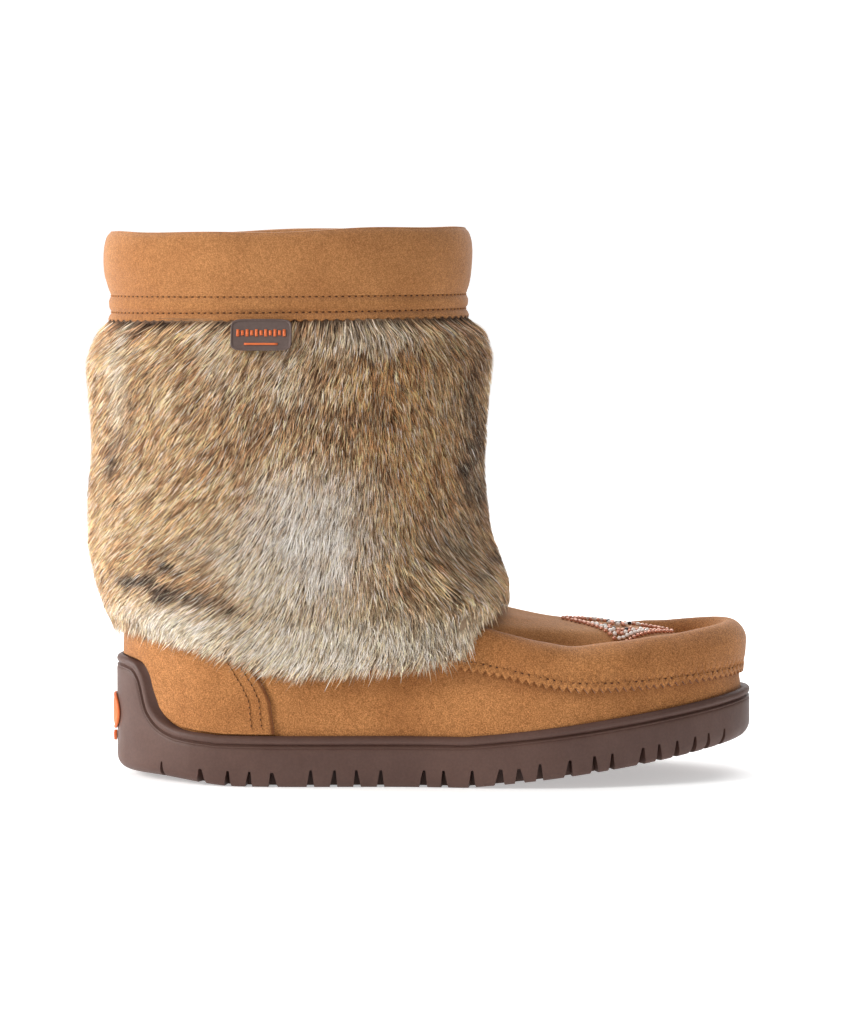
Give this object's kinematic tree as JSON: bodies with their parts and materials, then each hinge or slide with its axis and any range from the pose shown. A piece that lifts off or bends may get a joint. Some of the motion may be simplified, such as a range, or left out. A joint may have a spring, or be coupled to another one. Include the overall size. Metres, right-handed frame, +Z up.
{
  "type": "mukluk boot",
  "caption": "Half-height suede mukluk boot with a rolled moccasin toe, a fur cuff, a padded collar and a lugged rubber cup sole.",
  "frame": {"origin": "on the floor plane under the flat of the sole, at the middle of the sole's length", "axes": "+X towards the toe, +Y towards the inner side of the right foot, +Z up"},
  "size_m": [0.2799, 0.112, 0.23],
  "materials": {
    "suede": "honey suede",
    "rubber": "brown, matt",
    "fur": "agouti rabbit fur",
    "fleece": "cream pile",
    "tag_rubber": "dark brown, satin",
    "orange_rubber": "orange, satin",
    "beads": "opaque seed beads"
  },
  "bodies": {
    "root": {"outsole": "rubber", "insole": "fleece", "upper": "suede", "moccasin_band": "suede", "vamp": "suede", "heel_counter": "suede", "collar_band": "suede", "fur_cuff": "fur", "rubber_tag": "tag_rubber", "heel_badge": "orange_rubber", "heel_stud": "orange_rubber", "bead_diamond": "beads", "bead_centre": "beads"}
  },
  "joints": []
}
